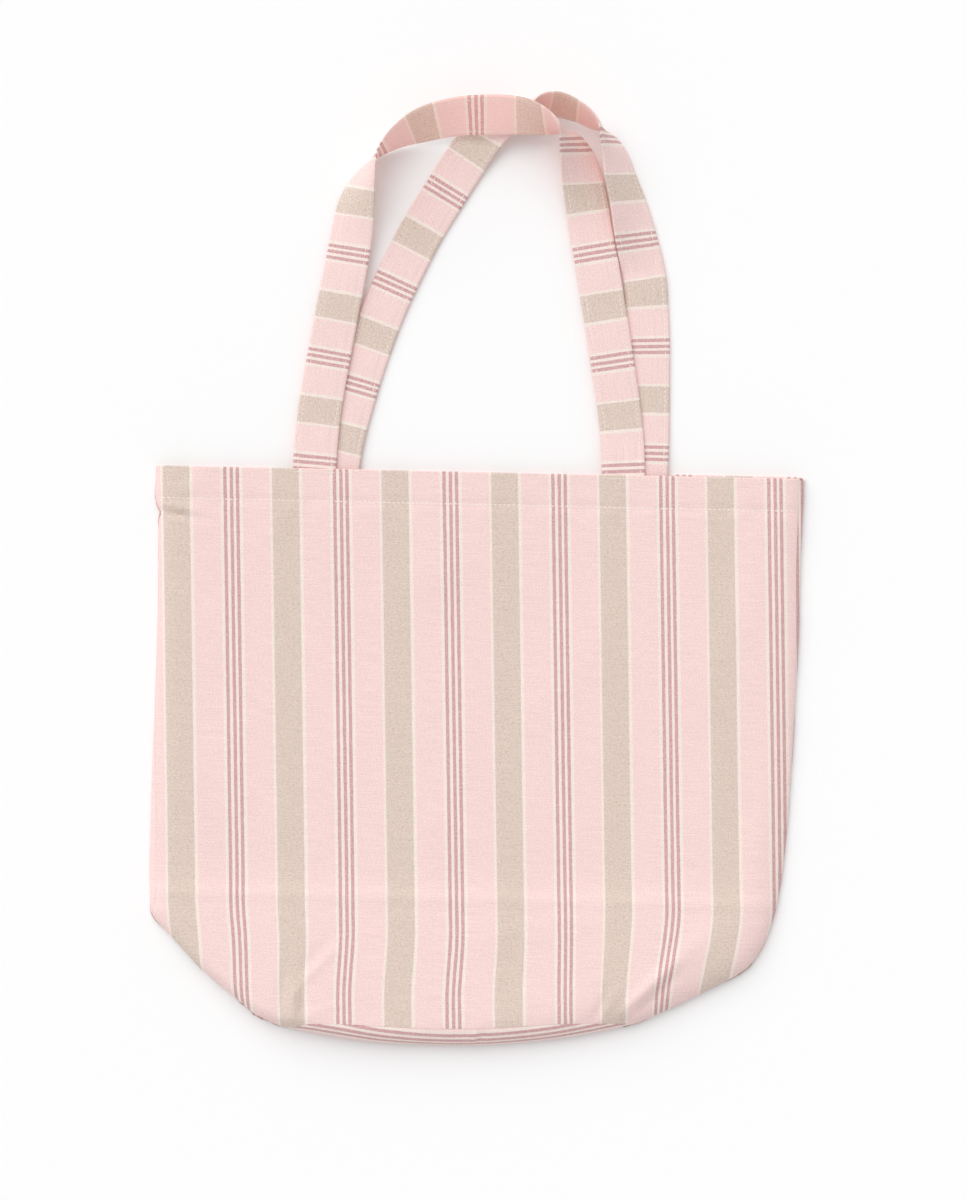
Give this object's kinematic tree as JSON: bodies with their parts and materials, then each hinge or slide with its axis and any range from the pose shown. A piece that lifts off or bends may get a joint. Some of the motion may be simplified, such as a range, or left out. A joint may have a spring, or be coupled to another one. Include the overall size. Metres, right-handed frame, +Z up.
{
  "type": "canvas tote bag",
  "caption": "Flat-folding striped canvas tote bag with a soft boxed base, a hemmed open mouth and long cloth strap handles.",
  "frame": {"origin": "middle of the back panel's outer face, which is the face the bag lies on", "axes": "+X along the bag's width, +Y from the base towards the mouth and handles, +Z up from the surface it lies on, out through the front panel"},
  "size_m": [0.45, 0.6661, 0.0395],
  "materials": {
    "striped_canvas": "matte plain-weave cotton canvas, pink ground with linen and mauve stripes",
    "strap_canvas": "matte folded cotton canvas with the stripes running across",
    "thread": "matte cream sewing thread"
  },
  "bodies": {
    "bag": {"back_panel": "striped_canvas", "base_panel": "striped_canvas", "back_hem": "striped_canvas", "left_side_seam": "striped_canvas", "right_side_seam": "striped_canvas", "base_seam_back": "striped_canvas", "base_seam_front": "striped_canvas", "back_handle_ends": "strap_canvas", "back_hem_stitching": "thread", "back_handle_tacks": "thread"},
    "front": {"front_panel": "striped_canvas", "front_hem": "striped_canvas", "front_handle_ends": "strap_canvas", "front_hem_stitching": "thread", "front_handle_tacks": "thread"},
    "front_handle": {"front_handle": "strap_canvas", "front_handle_stitching": "thread"},
    "back_handle": {"back_handle": "strap_canvas", "back_handle_stitching": "thread"}
  },
  "joints": [
    {"name": "mouth_open", "type": "hinge", "parent": "bag", "child": "front", "pos_m": [0, -0.191, 0.019], "axis": [1, 0, 0], "range_deg": [0, 10]},
    {"name": "front_handle_swing", "type": "hinge", "parent": "front", "child": "front_handle", "pos_m": [0, 0.191, 0.009], "axis": [1, 0, 0], "range_deg": [0, 165]},
    {"name": "back_handle_swing", "type": "hinge", "parent": "bag", "child": "back_handle", "pos_m": [0, 0.191, 0], "axis": [1, 0, 0], "range_deg": [-165, 0]}
  ]
}
